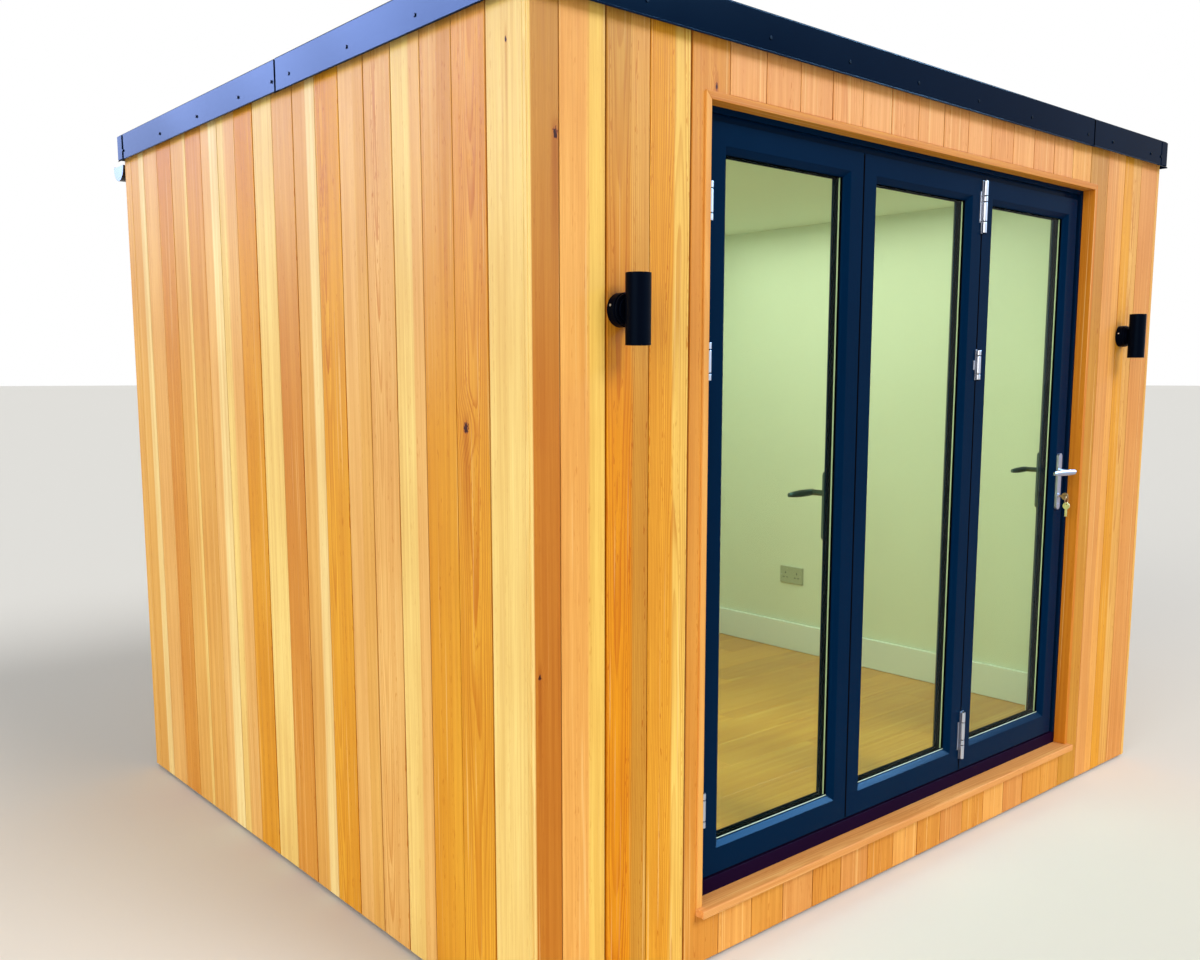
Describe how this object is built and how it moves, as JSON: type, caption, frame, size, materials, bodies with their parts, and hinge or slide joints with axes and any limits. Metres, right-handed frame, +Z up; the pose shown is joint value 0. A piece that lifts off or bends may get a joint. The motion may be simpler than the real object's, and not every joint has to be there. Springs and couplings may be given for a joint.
{
  "type": "garden office pod",
  "caption": "Flat-roofed garden office clad in upright cedar boards, with a glazed folding door set, wall lights and dark roof trim.",
  "frame": {"origin": "centre of the cladding's footprint, on the ground", "axes": "+X along the front to its right end as seen from outside, +Y from the front to the back, +Z up"},
  "size_m": [3.164, 2.7589, 2.5],
  "materials": {
    "cedar": "fine-sawn, oiled",
    "cedar_trim": "planed, oiled",
    "treated_timber": "rough-sawn",
    "wall_panel": "raw board",
    "floor_laminate": "satin wood grain",
    "painted_plaster": "matt emulsion on board",
    "skirting_paint": "white satin paint",
    "door_paint": "satin powder coat",
    "door_glazing": "clear double glazing",
    "spacer_bar": "plain mill finish",
    "hinge_steel": "satin",
    "handle_steel": "satin",
    "key_brass": "bright, lightly worn",
    "light_black": "semi-matt black",
    "trim_coating": "smooth coated, glossy",
    "roof_rubber": "matt sheet",
    "gutter_plastic": "black, smooth",
    "socket_plastic": "white"
  },
  "bodies": {
    "root": {"base_frame": "treated_timber", "floor_boards": "floor_laminate", "front_wall_left": "wall_panel", "front_wall_right": "wall_panel", "front_wall_head": "wall_panel", "left_wall": "wall_panel", "right_wall": "wall_panel", "back_wall": "wall_panel", "front_plaster": "painted_plaster", "left_plaster": "painted_plaster", "right_plaster": "painted_plaster", "back_plaster": "painted_plaster", "front_cladding_left": "cedar", "front_cladding_right": "cedar", "front_cladding_head": "cedar", "front_cladding_low": "cedar", "left_cladding": "cedar", "right_cladding": "cedar", "back_cladding": "cedar", "door_lining": "cedar_trim", "door_sill": "cedar_trim", "door_frame": "door_paint", "door_leaf_1": "door_paint", "door_leaf_2": "door_paint", "door_leaf_3": "door_paint", "door_glass_1": "door_glazing", "door_glass_2": "door_glazing", "door_glass_3": "door_glazing", "glass_spacers": "spacer_bar", "door_hinges": "hinge_steel", "outside_handle": "handle_steel", "inside_handles": "handle_steel", "lock_keys": "key_brass", "wall_lights": "light_black", "roof_panel": "wall_panel", "roof_edge": "treated_timber", "roof_membrane": "roof_rubber", "ceiling": "painted_plaster", "front_roof_trim": "trim_coating", "side_roof_trims": "trim_coating", "rear_roof_trim": "trim_coating", "trim_corner_caps": "trim_coating", "rear_gutter": "gutter_plastic", "skirting_boards": "skirting_paint", "double_socket": "socket_plastic"}
  },
  "joints": []
}
